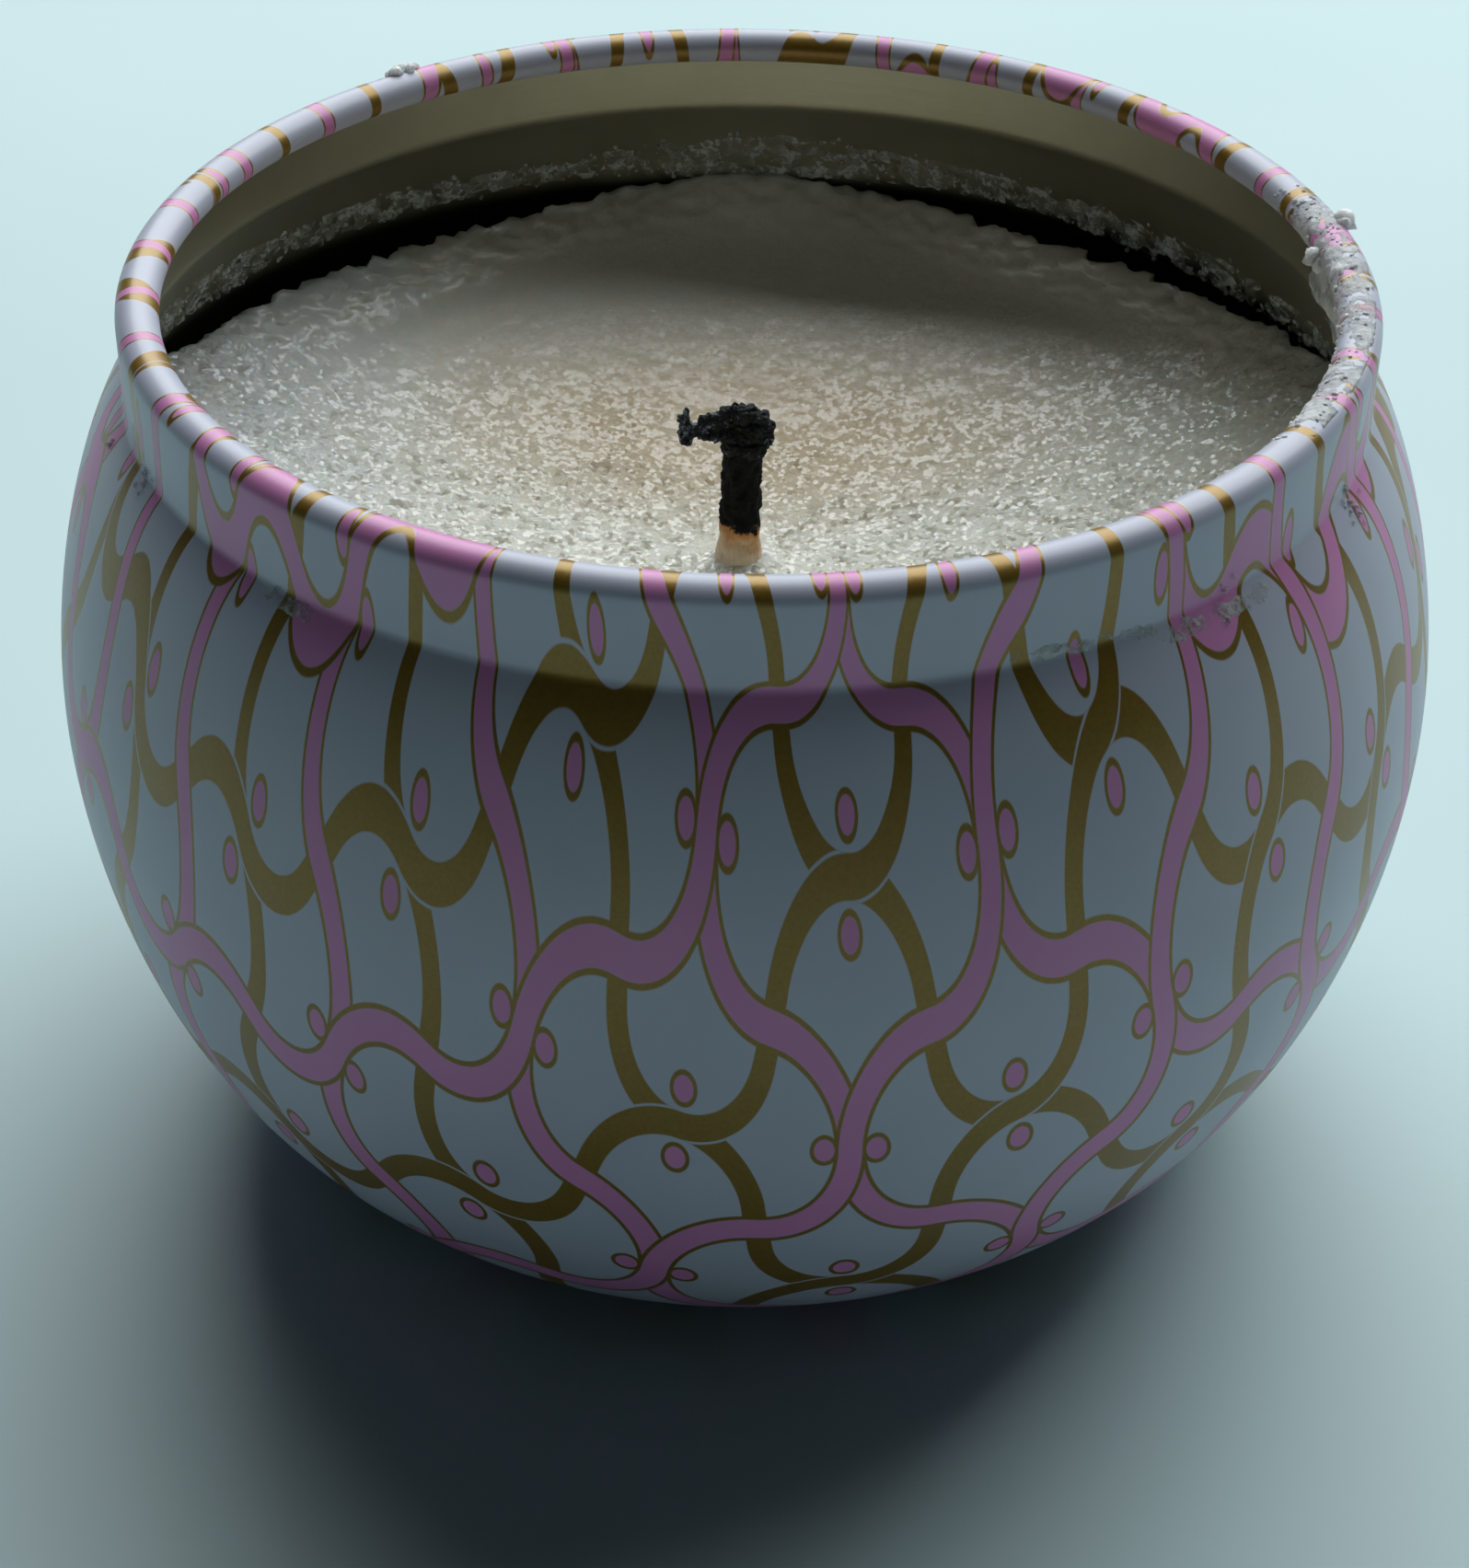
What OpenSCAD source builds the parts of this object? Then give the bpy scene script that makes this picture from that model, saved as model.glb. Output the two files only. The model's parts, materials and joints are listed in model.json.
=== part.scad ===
// Round candle tin: one seamless drawn shell with a bulging belly, a straight neck
// and a rim rolled inwards, filled with wax around a charred cotton wick.
// Millimetres, +Z up, the origin at the centre of the ring that the tin stands on.

/* [Tin] */
// Widest outside diameter, across the belly
belly_d = 77; // [74:0.5:84]
// Overall height, to the top of the rolled rim
tin_h = 51.6; // [50:0.1:56]
// Outside diameter of the straight neck, and of the rolled rim on top of it
neck_d = 67; // [64:0.5:69]
// Outside diameter of the ring that the tin stands on
foot_d = 48.6; // [44:0.2:52]
// Height of the widest point
belly_z = 28; // [24:0.5:31]
// Height of the crease where the shoulder runs into the neck
crease_z = 46; // [45:0.25:46.5]
// Thickness of the tinplate
sheet = 0.3; // [0.25:0.05:0.35]
// Width of the rolled rim's tube, across the wall
rim_tube_w = 2.3; // [2:0.1:2.6]
// Height of the rolled rim's tube, which is a little flattened
rim_tube_h = 1.9; // [1.6:0.1:2.4]
// How far the base panel is raised above the standing ring
base_recess = 1; // [0.6:0.1:1.6]

/* [Wax] */
// Height of the wax where it meets the wall
wax_edge_z = 39.5; // [36:0.5:41]
// Height of the wax at the wick, at the bottom of the burnt dish
wax_centre_z = 33; // [30:0.5:35]
// Width of the shrinkage gaps between the wax and the wall, at the surface
gap_w = 2.4; // [1:0.2:3]
// Depth of the shrinkage gaps
gap_depth = 5; // [3:0.5:8]
// Height that the molten wax once reached on the wall
film_top_z = 42.2; // [41.5:0.1:43.5]

/* [Wick] */
// Diameter of the braided cotton wick
wick_d = 2.5; // [2:0.1:3]
// Distance of the wick from the tin's axis, along X
wick_x = -0.3; // [-1:0.1:1]
// Height of the charred end of the wick, where the carbon head sits
wick_top_z = 40.2; // [38:0.2:42]
// Diameter of the stamped sustainer disc and of the sticker under it
sustainer_d = 15; // [12:0.5:20]
// Height of the sustainer's crimped collar
collar_h = 5; // [3:0.5:8]

/* [Hidden] */
$fn = 96;
neck_r = neck_d / 2;
foot_r = foot_d / 2;
belly_r = belly_d / 2;
rim_r = rim_tube_w / 2;
rim_half_h = rim_tube_h / 2;
rim_centre = [neck_r - rim_r, tin_h - rim_half_h];
ring_w = 1;
panel_slope = 2.4;
ring_in_r = foot_r - ring_w;
panel_r = ring_in_r - panel_slope;
foot_angle = 24;
foot_reach = 13;
belly_reach_down = 6.5;
belly_reach_up = 7.5;
shoulder_angle = 42;
shoulder_reach = 3.5;
crease_r = 0.8;
rim_turn = 285;
sticker_t = 0.5;
sticker_z = base_recess + sheet;
sustainer_z = sticker_z + sticker_t;
sustainer_t = 0.3;
wick_r = wick_d / 2;
collar_r = wick_r + sustainer_t;
film_t = 0.3;
crust_t = 0.9;
crust_loose = 0.06;

// Arcs of the wall, in degrees anticlockwise from +X: [start, end]
gap_arcs = [[26, 78], [104, 162]];
film_arcs = [[24, 76], [106, 160]];
crust_arc = [-34, 18];

function unit(v) = v / norm(v);
function left_of(v) = [-v.y, v.x];

// Points along a cubic curve, without its first point
function curve(a, b, c, d, n) = [
    for (i = [1:n])
        let (t = i / n, u = 1 - t)
            u * u * u * a + 3 * u * u * t * b + 3 * u * t * t * c + t * t * t * d
];

// Points along an arc of a circle or an oval, without its first point
function arc(centre, rx, ry, from, to, n) = [
    for (i = [1:n])
        let (a = from + (to - from) * i / n)
            centre + [rx * cos(a), ry * sin(a)]
];

// The same outline moved to its left by t, with mitred corners
function inset(path, t) = [
    for (i = [0:len(path) - 1])
        let (
            before = unit(path[max(i, 1)] - path[max(i, 1) - 1]),
            after = unit(path[min(i, len(path) - 2) + 1] - path[min(i, len(path) - 2)]),
            n = unit(left_of(before) + left_of(after))
        )
            path[i] + n * t / (n * left_of(before))
];

function reverse(list) = [for (i = [len(list) - 1:-1:0]) list[i]];

// The printed outside of the tin as one line, from the middle of the base to the neck's top
shoulder_end = [neck_r + crease_r * (1 - cos(shoulder_angle)), crease_z];
wall_path = concat(
    [[0, base_recess], [panel_r, base_recess]],
    curve([panel_r, base_recess], [panel_r + panel_slope / 2, base_recess],
          [ring_in_r - panel_slope / 2, 0], [ring_in_r, 0], 6),
    [[foot_r, 0]],
    curve([foot_r, 0], [foot_r, 0] + foot_reach * [cos(foot_angle), sin(foot_angle)],
          [belly_r, belly_z - belly_reach_down], [belly_r, belly_z], 14),
    curve([belly_r, belly_z], [belly_r, belly_z + belly_reach_up],
          shoulder_end + shoulder_reach * [sin(shoulder_angle), -cos(shoulder_angle)],
          shoulder_end, 10),
    arc([neck_r + crease_r, crease_z + crease_r * sin(shoulder_angle)], crease_r, crease_r,
        180 + shoulder_angle, 180, 4),
    [[neck_r, rim_centre.y]]
);
rim_path = arc(rim_centre, rim_r, rim_half_h, 0, rim_turn, 24);
inner_wall = inset(wall_path, sheet);
film_wall = inset(wall_path, sheet + film_t);
crust_wall = inset(wall_path, sheet + crust_t);

// Section of the tinplate
module shell_section() {
    path = concat(wall_path, rim_path);
    polygon(concat(path, reverse(inset(path, sheet))));
}

// Section of everything inside the outer surface, with the rim's tube taken as solid
module filled_section() {
    polygon(concat(wall_path, [[0, rim_centre.y]]));
    rim_oval();
}

// Section of the rim's tube, taken as solid and made larger all round by extra
module rim_oval(extra = 0) {
    translate(rim_centre) scale([rim_r + extra, rim_half_h + extra]) circle(r = 1);
}

// Section of the space between the inner wall and a line inside it, from z0 to z1
module lining_section(lining, z0, z1) {
    intersection() {
        polygon(concat(inner_wall, reverse(lining)));
        translate([panel_r, z0]) square([belly_r, z1 - z0]);
    }
}

// Part of a ring, from a[0] to a[1] degrees
module ring_arc(a) {
    rotate([0, 0, a[0]]) rotate_extrude(angle = a[1] - a[0]) children();
}

module tin_shell() {
    color([0.72, 0.73, 0.84]) rotate_extrude() shell_section();
}

// The wax's burnt top is a shallow dish
module wax_section() {
    steps = 12;
    dish = [
        for (i = [0:steps])
            let (r = belly_r * i / steps)
                [r, wax_centre_z + (wax_edge_z - wax_centre_z) * pow(r / (belly_r - 2), 2)]
    ];
    intersection() {
        polygon(concat(inner_wall, [[0, rim_centre.y]]));
        polygon(concat([[belly_r, 0], [0, 0]], dish));
    }
}

// Wedge of wax that shrank away from the wall
module gap_section() {
    z0 = wax_edge_z - gap_depth;
    intersection() {
        polygon(concat(inner_wall, [[0, rim_centre.y]]));
        polygon([[belly_r, z0], [belly_r, tin_h], [belly_r - 2 - gap_w, tin_h],
                 [belly_r - 2 - gap_w, wax_edge_z], [belly_r - 1, z0]]);
    }
}

module wax_fill() {
    color([0.9, 0.87, 0.76]) difference() {
        rotate_extrude() wax_section();
        for (a = gap_arcs) ring_arc(a) gap_section();
        sticker_body();
        sustainer_body();
        translate([wick_x, 0, sustainer_z]) cylinder(r = wick_r, h = tin_h);
    }
}

module sticker_body() {
    translate([wick_x, 0, sticker_z]) cylinder(d = sustainer_d, h = sticker_t);
}

// Stamped disc with a collar that is crimped round the wick; the wick's hole is left filled
module sustainer_body() {
    translate([wick_x, 0, sustainer_z]) rotate_extrude()
        polygon([[0, 0], [sustainer_d / 2, 0], [sustainer_d / 2, sustainer_t],
                 [collar_r + 0.8, sustainer_t], [collar_r, sustainer_t + 0.8],
                 [collar_r, collar_h], [0, collar_h]]);
}

module wick_sticker() {
    color([0.93, 0.93, 0.9]) sticker_body();
}

module wick_sustainer() {
    color([0.7, 0.71, 0.72]) difference() {
        sustainer_body();
        translate([wick_x, 0, sustainer_z - 1]) cylinder(r = wick_r, h = collar_h + 2);
    }
}

module wick() {
    color([0.8, 0.66, 0.48])
        translate([wick_x, 0, sustainer_z]) cylinder(r = wick_r, h = wick_top_z - sustainer_z);
}

// Carbon that grew on the burning end: a cap, an arm bent to one side and its drooping tip
module carbon_head() {
    cap = [[0, 0], [1.1, 0], [1.45, 0.8], [1.4, 1.8], [1, 2.5], [0.4, 2.8], [0, 2.8]];
    tip = [[0, 0.3], [0.4, 0.3], [0.7, 0.7], [0.7, 2.1], [0.4, 2.4], [0, 2.4]];
    arm_z = 1.65;
    arm_r = 0.6;
    tip_x = -3.1;
    color([0.06, 0.06, 0.07]) translate([wick_x, 0, wick_top_z]) {
        translate([0.2, 0, 0]) rotate_extrude() polygon(cap);
        translate([tip_x, 0, arm_z]) rotate([0, 90, 0]) cylinder(r = arm_r, h = -tip_x);
        translate([tip_x, 0, 0]) rotate_extrude() polygon(tip);
    }
}

// Film of wax that stayed on the wall above the gaps
module wall_wax_film() {
    color([0.8, 0.82, 0.78])
        for (a = film_arcs) ring_arc(a) lining_section(film_wall, wax_edge_z + 0.1, film_top_z);
}

// Frosted crust on one side of the neck, which climbs over the inside of the rolled rim.
// It has come a hair loose from the neck towards its top.
module rim_wax_crust() {
    color([0.95, 0.95, 0.95]) ring_arc(crust_arc) difference() {
        union() {
            lining_section(crust_wall, film_top_z - 1.5, rim_centre.y);
            intersection() {
                rim_oval(crust_t / 2);
                translate([0, rim_centre.y - 2 * rim_r]) square([rim_centre.x, 3 * rim_r]);
            }
        }
        rim_oval();
        polygon([[neck_r, crease_z], [neck_r - sheet, crease_z],
                 [neck_r - sheet - crust_loose, tin_h], [neck_r, tin_h]]);
    }
}

// Wax that ran outside into the crease: two crumbs and two thin smears. All of it stays under the
// height at which a lid's skirt sits. A crumb is [degrees, radius, out from the neck, above the crease].
module crease_wax() {
    crumbs = [[-25.7, 0.6, 0.65, -0.5], [-154.7, 0.42, 0.25, 0]];
    smears = [[-66, -45], [-132, -127]];
    smear_ring = [neck_r + 0.25, crease_z + 0.1];
    color([0.95, 0.95, 0.93]) {
        for (c = crumbs) difference() {
            rotate([0, 0, c[0]]) translate([neck_r + c[2], 0, crease_z + c[3]]) sphere(r = c[1]);
            rotate_extrude() filled_section();
        }
        for (a = smears) ring_arc(a) difference() {
            translate(smear_ring) circle(r = 0.3);
            filled_section();
        }
    }
}

tin_shell();
wax_fill();
wick();
carbon_head();
wick_sustainer();
wick_sticker();
wall_wax_film();
rim_wax_crust();
crease_wax();
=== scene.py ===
# %% [markdown]
# # A round candle tin that has been burnt once
#
# The real object is a small tin drawn from one printed sheet, with a bulging belly, a straight
# neck and a rim rolled inwards. It holds cream wax round a charred cotton wick. Its hard shape
# comes from a CAD part, loaded here as a fixed frame; this file gives every piece its visible
# surface. Shapes are worked out in millimetres and brought to metres once, when they are finished.

# %% Load the frame
import json
import random
from math import atan2, cos, degrees, exp, hypot, pi, radians, sin, sqrt

import bmesh
import bpy
from mathutils import Matrix, Vector, noise


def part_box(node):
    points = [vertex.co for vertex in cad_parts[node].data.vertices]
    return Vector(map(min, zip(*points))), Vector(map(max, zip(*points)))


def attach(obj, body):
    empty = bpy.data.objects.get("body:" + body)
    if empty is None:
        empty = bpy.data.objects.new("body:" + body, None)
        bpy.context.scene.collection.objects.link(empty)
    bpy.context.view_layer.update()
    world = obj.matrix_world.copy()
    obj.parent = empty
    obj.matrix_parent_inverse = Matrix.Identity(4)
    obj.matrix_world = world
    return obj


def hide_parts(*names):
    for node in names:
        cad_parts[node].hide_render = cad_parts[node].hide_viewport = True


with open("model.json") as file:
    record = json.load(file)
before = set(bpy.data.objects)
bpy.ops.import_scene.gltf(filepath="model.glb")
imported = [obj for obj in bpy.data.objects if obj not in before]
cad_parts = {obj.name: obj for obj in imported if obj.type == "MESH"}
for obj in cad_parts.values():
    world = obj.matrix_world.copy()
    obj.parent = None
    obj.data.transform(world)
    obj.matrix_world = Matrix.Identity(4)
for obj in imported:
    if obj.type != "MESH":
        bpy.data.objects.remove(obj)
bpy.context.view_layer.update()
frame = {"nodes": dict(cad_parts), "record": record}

MM = 0.001

# %% [markdown]
# ## Sizes
#
# The node boxes and the record give the outside of each piece. The few numbers that a box can't
# give, such as the height of the belly, are the named values of the part, repeated here. They
# come first, so that every later cell can be read as a sentence about the tin.

# %% Sizes in millimetres


def box_mm(node):
    """Lowest and highest corner of a CAD node, in millimetres."""
    lowest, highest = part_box(node)
    return lowest / MM, highest / MM


tin_top = box_mm("tin_shell")[1]
belly_r, tin_h = tin_top.x, tin_top.z
mounts = {m["name"]: m for m in frame["record"]["mounts"]}
neck_r = mounts["lid_neck"]["dims"]["r_mm"]
foot_r, ring_w, panel_slope, base_recess = 24.3, 1.0, 2.4, 1.0
belly_z, crease_z, crease_r, shoulder_angle = 28.0, 46.0, 0.8, 42.0
sheet, rim_r, rim_half_h, rim_turn = 0.3, 1.15, 0.95, 285.0
wick_low, wick_high = box_mm("wick")
wick_x, wick_r = (wick_low.x + wick_high.x) / 2, (wick_high.x - wick_low.x) / 2
wax_edge_z, wax_centre_z = 39.5, 33.0
print(f"tin {2 * belly_r:.1f} x {tin_h:.1f} mm, neck {2 * neck_r:.1f} mm, wick {2 * wick_r:.2f} mm")

# %% [markdown]
# ## Finishing a piece
#
# Each piece is shaped in a bmesh, Blender's own mesh editor for scripts. One function then does
# what every piece needs: it scales to metres, gives the finishes, shades smoothly, parents the
# piece to the body it rides on, and hides the CAD nodes that it stands for.

# %% Turn a bmesh into a finished piece


def finished(name, shape, finishes, slot, *nodes):
    """An object made of a bmesh in millimetres, riding on the tin's only body."""
    shape.transform(Matrix.Scale(MM, 4))
    mesh = bpy.data.meshes.new(name)
    shape.to_mesh(mesh)
    shape.free()
    for finish in finishes:
        mesh.materials.append(finish.material)
    mesh.shade_smooth()
    piece = bpy.data.objects.new(name, mesh)
    bpy.context.scene.collection.objects.link(piece)
    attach(piece, "root")
    if nodes:
        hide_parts(*nodes)
    print(f"{name}: {len(mesh.polygons)} faces")
    return piece


def closed(shape, merge=0.0005):
    """Merge doubles, then point every face outwards."""
    bmesh.ops.remove_doubles(shape, verts=shape.verts, dist=merge)
    bmesh.ops.recalc_face_normals(shape, faces=shape.faces)
    return shape


print("shapes are drawn in millimetres, and one millimetre is", MM, "m")

# %% [markdown]
# ## The camera, the floor and the light
#
# The tin is seen from 35 degrees above, close by and through a long lens. It stands on a pale
# blue-green table, with a wide soft light behind it like a large window, a little to the right.
# That leaves the near side in soft shade and makes the wax glitter towards the front. The room in
# front gives very little light back, so it is only a low, dim lamp and a faint world. More fill
# would be simpler, but it would wash out both the shade and the dark gaps round the wax.

# %% Camera
CAMERA_AT, VIEW_DOWN, VIEW_ROLL = (0, -0.1561, 0.12709), radians(35.053), radians(0.715)
LENS_MM, SENSOR_MM, SHIFT_X, CLIP_START = 73.66, 36, -0.0054, 0.01
camera = bpy.data.objects.new("camera", bpy.data.cameras.new("camera"))
bpy.context.scene.collection.objects.link(camera)
camera.matrix_world = (
    Matrix.Translation(CAMERA_AT)
    @ Matrix.Rotation(pi / 2 - VIEW_DOWN, 4, "X")
    @ Matrix.Rotation(VIEW_ROLL, 4, "Z")
)
camera.data.lens, camera.data.sensor_width = LENS_MM, SENSOR_MM
camera.data.shift_x, camera.data.clip_start = SHIFT_X, CLIP_START
bpy.context.scene.camera = camera
bpy.context.scene.view_settings.view_transform = "Standard"
print("camera at", [round(c, 4) for c in camera.location])

# %% [markdown]
# ## Writing materials as sums
#
# A print, a grain or a stain is easier to read as arithmetic than as a list of nodes. `Wire` wraps
# an output socket, and Python's operators on it add Math nodes. `Finish` holds a material and has
# the one method that adds any other node. Colours only ever go through Mix nodes.

# %% The Wire and Finish classes


class Wire:
    """An output socket. Operators on it add Math nodes to its material."""

    def __init__(self, finish, socket):
        self.finish, self.socket = finish, socket

    def math(self, operation, *others, first=None, clamp=False):
        values = [self if first is None else first, *others]
        settings = {"operation": operation, "use_clamp": clamp}
        return self.finish.node("ShaderNodeMath", settings, dict(enumerate(values)))

    def __add__(self, other):
        return self.math("ADD", other)

    def __sub__(self, other):
        return self.math("SUBTRACT", other)

    def __rsub__(self, other):
        return self.math("SUBTRACT", self, first=other)

    def __mul__(self, other):
        return self.math("MULTIPLY", other)

    def __truediv__(self, other):
        return self.math("DIVIDE", other)

    def __neg__(self):
        return self.math("MULTIPLY", -1)

    def __abs__(self):
        return self.math("ABSOLUTE")

    def __gt__(self, other):
        return self.math("GREATER_THAN", other)

    __radd__, __rmul__ = __add__, __mul__

    def nearest(self):
        return self.math("ROUND")

    def clamped(self):
        return self.math("ADD", 0, clamp=True)

    def ramp(self, start, end):
        """0 up to start, 1 from end on, and smooth between."""
        limits = {1: start, 2: end, 3: 0, 4: 1}
        settings = {"interpolation_type": "SMOOTHSTEP"}
        return self.finish.node("ShaderNodeMapRange", settings, {0: self, **limits})


def root(wire):
    return wire.math("SQRT")


def smaller(a, b):
    return a.math("MINIMUM", b)


def larger(a, b):
    return a.math("MAXIMUM", b)


def srgb(red, green, blue):
    """A colour in everyday 0 to 255 numbers, as the linear values that Blender mixes."""
    parts = [c / 255 for c in (red, green, blue)]
    return (*[((c + 0.055) / 1.055) ** 2.4 if c > 0.04 else c / 12.92 for c in parts], 1)


class Finish:
    """A material, its Principled shader, and the method that adds its other nodes."""

    def __init__(self, name, **constants):
        self.material = bpy.data.materials.new(name)
        self.material.use_nodes = True
        self.tree = self.material.node_tree
        self.shader = self.tree.nodes["Principled BSDF"]
        self.set(**constants)

    def set(self, **sockets):
        """Plug values or wires into the shader; a name's underscores stand for spaces."""
        for name, value in sockets.items():
            self.plug(self.shader.inputs[name.replace("_", " ")], value)
        return self

    def plug(self, socket, value):
        if isinstance(value, Wire):
            self.tree.links.new(value.socket, socket)
        else:
            socket.default_value = value

    def node(self, kind, settings=None, inputs=None, out=0):
        made = self.tree.nodes.new(kind)
        for name, value in (settings or {}).items():
            setattr(made, name, value)
        for name, value in (inputs or {}).items():
            self.plug(made.inputs[name], value)
        return Wire(self, made.outputs[out])

    def mix(self, mask, below, above):
        """A colour: below where mask is 0, above where it is 1."""
        inputs = {0: mask, 6: below, 7: above}
        return self.node("ShaderNodeMix", {"data_type": "RGBA"}, inputs, out=2)

    def vector_math(self, operation, a, b, out=0):
        return self.node("ShaderNodeVectorMath", {"operation": operation}, {0: a, 1: b}, out)

    def place(self, stretch=(1, 1, 1)):
        """Object coordinates in millimetres, stretched along each axis."""
        here = self.node("ShaderNodeTexCoord", out="Object")
        scale = [s / MM for s in stretch]
        return self.vector_math("MULTIPLY", here, scale)

    def axes(self, vector):
        """The x, y and z of a vector, as three wires."""
        parts = self.node("ShaderNodeSeparateXYZ", inputs={0: vector}).socket.node
        return [Wire(self, parts.outputs[i]) for i in range(3)]

    def noise(self, size, at, detail=2.0, rough=0.5):
        """Soft noise around 0.5, in patches of about this size in millimetres."""
        inputs = {"Vector": at, "Scale": 1 / size, "Detail": detail, "Roughness": rough}
        return self.node("ShaderNodeTexNoise", inputs=inputs)

    def cells(self, size, at):
        """Distance to the nearest of scattered points, about this far apart in millimetres."""
        inputs = {"Vector": at, "Scale": 1 / size}
        return self.node("ShaderNodeTexVoronoi", {"feature": "F1"}, inputs)

    def facets(self, size, at):
        """The height of flat faces, about this wide and each tilted its own way, in millimetres."""
        outputs = self.cells(size, at).socket.node.outputs
        inside = self.vector_math("SUBTRACT", at, Wire(self, outputs["Position"]))
        tilt = self.vector_math("SUBTRACT", Wire(self, outputs["Color"]), (0.5, 0.5, 0.5))
        return self.vector_math("DOT_PRODUCT", inside, tilt, out=1)

    def bump(self, height, depth):
        """A normal for a relief: height runs from 0 to 1 and is worth depth millimetres."""
        return self.node("ShaderNodeBump", inputs={"Distance": depth * MM, "Height": height})


print("shader helpers ready")

# %% Floor and light
FLOOR_SIDE, LIGHT_AWAY = 3.0, 1.0
ROOM_TONE, ROOM_STRENGTH = (0.80, 0.90, 1.0, 1), 0.014
table = Finish("pale_table", Roughness=0.5, Specular_IOR_Level=0.35)
grain = table.noise(60, table.place())
table.set(Base_Color=table.mix(grain, srgb(190, 216, 217), srgb(200, 224, 225)))
floor_shape = bmesh.new()
bmesh.ops.create_grid(floor_shape, x_segments=1, y_segments=1, size=FLOOR_SIDE / 2)
floor_mesh = bpy.data.meshes.new("table")
floor_shape.to_mesh(floor_mesh)
floor_shape.free()
floor_mesh.materials.append(table.material)
floor_plane = bpy.data.objects.new("table", floor_mesh)
bpy.context.scene.collection.objects.link(floor_plane)


def soft_light(name, azimuth, elevation, away, wide, tall, watts, colour):
    """A large soft lamp that looks at the tin from a direction."""
    lamp = bpy.data.lights.new(name, "AREA")
    lamp.shape, lamp.size, lamp.size_y = "RECTANGLE", wide, tall
    lamp.energy, lamp.color = watts, colour
    holder = bpy.data.objects.new(name, lamp)
    bpy.context.scene.collection.objects.link(holder)
    a, e = radians(azimuth), radians(elevation)
    toward = Vector((cos(a) * cos(e), sin(a) * cos(e), sin(e)))
    holder.location = toward * away + Vector((0, 0, tin_h * MM / 2))
    holder.rotation_euler = toward.to_track_quat("Z", "Y").to_euler()


soft_light(
    "window", azimuth=76, elevation=45, away=LIGHT_AWAY, wide=1.35, tall=1.00, watts=17.5,
    colour=(0.93, 0.98, 1.0),
)
soft_light(
    "room", azimuth=-84, elevation=12, away=LIGHT_AWAY, wide=1.2, tall=0.4, watts=0.06,
    colour=(0.90, 0.95, 1.0),
)
world = bpy.data.worlds.new("room")
bpy.context.scene.world = world
world.use_nodes = True
background = world.node_tree.nodes["Background"].inputs
background["Color"].default_value, background["Strength"].default_value = ROOM_TONE, ROOM_STRENGTH
print("one soft lamp behind the tin, and a dim room in front of it")

# %% [markdown]
# ## The line that the tin is turned from
#
# A drawn tin is a body of revolution, so its whole shape is one line from the middle of the base
# to the end of the rolled rim. The belly could be a circle, but the real one is fuller below and
# flatter at the shoulder, so two cubic curves are used. Each leaves its ends along a direction
# that it holds for a given pull. The line is the printed outside; moved inwards by the sheet's
# thickness it is also the wall that the wax touches.

# %% Outside line


def curve(a, b, c, d, steps):
    """Points along a cubic curve, without its first point."""
    parts = [i / steps for i in range(1, steps + 1)]
    return [
        a * (1 - t) ** 3 + b * 3 * (1 - t) ** 2 * t + c * 3 * (1 - t) * t * t + d * t**3
        for t in parts
    ]


def arc(centre, wide, tall, start, end, steps):
    """Points along an arc of an oval, from start to end in degrees, without its first point."""
    turns = [radians(start + (end - start) * i / steps) for i in range(1, steps + 1)]
    return [centre + Vector((cos(t) * wide, sin(t) * tall)) for t in turns]


def inset(line, depth):
    """The same line moved to its left by depth, with mitred corners."""
    moved = []
    for before, here, after in zip(line[:1] + line, line, line[1:] + line[-1:]):
        steps = [here - before, after - here]
        sides = [step.normalized() for step in steps if step.length > 1e-9]
        lefts = [Vector((-s.y, s.x)) for s in sides]
        middle = (lefts[0] + lefts[-1]).normalized()
        moved.append(here + middle * depth / middle.dot(lefts[0]))
    return moved


FOOT_BEND, FOOT_ANGLE, NECK_START = 0.35, radians(24), 0.6
PANEL_PULL, FOOT_PULL, BELLY_PULLS, SHOULDER_PULL = 1.2, 13, (6.5, 7.5), 3.5
ring_in_r = foot_r - ring_w
panel_r = ring_in_r - panel_slope
panel_end = Vector((panel_r, base_recess))
foot = Vector((foot_r, 0))
belly = Vector((belly_r, belly_z))
lean = radians(shoulder_angle)
shoulder_end = Vector((neck_r + crease_r * (1 - cos(lean)), crease_z))
crease_centre = Vector((neck_r + crease_r, crease_z + crease_r * sin(lean)))
rim_centre = Vector((neck_r - rim_r, tin_h - rim_half_h))
base_line = [Vector((panel_r * i / 6, base_recess)) for i in range(7)]
panel_held = panel_end + Vector((PANEL_PULL, 0))
ring_held = Vector((ring_in_r - PANEL_PULL, 0))
base_line += curve(panel_end, panel_held, ring_held, Vector((ring_in_r, 0)), 8)
base_line += [foot - Vector((FOOT_BEND, 0))]
foot_held = foot + Vector((cos(FOOT_ANGLE), sin(FOOT_ANGLE))) * FOOT_PULL
belly_held = [belly - Vector((0, BELLY_PULLS[0])), belly + Vector((0, BELLY_PULLS[1]))]
shoulder_held = shoulder_end + Vector((sin(lean), -cos(lean))) * SHOULDER_PULL
side_line = curve(foot, foot_held, belly_held[0], belly, 36)
side_line += curve(belly, belly_held[1], shoulder_held, shoulder_end, 22)
side_line += arc(crease_centre, crease_r, crease_r, 180 + shoulder_angle, 180, 6)
neck_climb = rim_centre.y - crease_z - NECK_START
side_line += [Vector((neck_r, crease_z + NECK_START + neck_climb * i / 6)) for i in range(1, 7)]
rim_line = arc(rim_centre, rim_r, rim_half_h, 0, rim_turn, 30)
outside = base_line + side_line + rim_line
inner_wall = inset(base_line + side_line, sheet)
print(f"{len(outside)} points from the base to the end of the rolled rim")

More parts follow.
